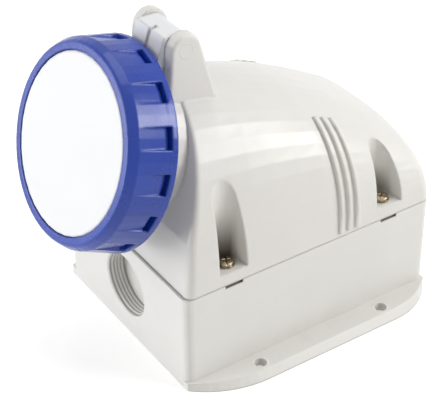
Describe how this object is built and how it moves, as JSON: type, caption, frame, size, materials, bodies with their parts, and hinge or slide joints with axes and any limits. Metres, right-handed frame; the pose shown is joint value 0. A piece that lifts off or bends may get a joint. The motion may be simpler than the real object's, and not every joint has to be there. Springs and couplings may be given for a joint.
{
  "type": "industrial wall socket",
  "caption": "Surface-mounted industrial socket with an angled, hooded housing, a hinged lid with a twist-to-lock ring, and a cable entry in the box.",
  "frame": {"origin": "centre of the flat back face of the box, which lies against the wall", "axes": "+Z out of the wall, the lid faces -Y, X is the width"},
  "size_m": [0.1648, 0.2173, 0.195],
  "materials": {
    "housing_grey": "warm light grey moulded thermoplastic, satin gloss",
    "box_grey": "warm light grey moulded thermoplastic, satin gloss",
    "seal_rubber": "black sealing rubber",
    "screw_brass": "yellow passivated screws",
    "core_blue": "blue insulating plastic",
    "terminal_black": "black insulating plastic",
    "contact_metal": "nickel-plated brass",
    "pin_steel": "plain steel",
    "cap_white": "white moulded plastic, satin gloss",
    "ring_blue": "blue moulded plastic, satin gloss"
  },
  "bodies": {
    "housing": {"back_box": "box_grey", "box_seal": "seal_rubber", "cover": "housing_grey", "bayonet_collar": "core_blue", "cover_screw_1": "screw_brass", "cover_screw_2": "screw_brass", "cover_screw_3": "screw_brass", "cover_screw_4": "screw_brass", "contact_core": "core_blue", "insert_seal": "seal_rubber", "terminal_plate": "terminal_black", "contact_earth": "contact_metal", "contact_line": "contact_metal", "contact_neutral": "contact_metal", "contact_pilot": "contact_metal", "clamp_screw_earth": "screw_brass", "clamp_screw_line": "screw_brass", "clamp_screw_neutral": "screw_brass", "clamp_screw_pilot": "screw_brass", "insert_screw_1": "pin_steel", "insert_screw_2": "pin_steel", "plate_screw_1": "pin_steel", "plate_screw_2": "pin_steel", "plate_screw_3": "pin_steel", "hinge_pin": "pin_steel"},
    "lid": {"lid_cap": "cap_white", "lid_seal": "seal_rubber"},
    "ring": {"locking_ring": "ring_blue"}
  },
  "joints": [
    {"name": "lid_hinge", "type": "hinge", "parent": "housing", "child": "lid", "pos_m": [0, -0.05263, 0.18584], "axis": [-1, 0, 0], "range_deg": [0, 105]},
    {"name": "ring_turn", "type": "hinge", "parent": "lid", "child": "ring", "pos_m": [0, -0.10272, 0.1365], "axis": [0, 0.9397, -0.342], "range_deg": [0, 30]}
  ]
}
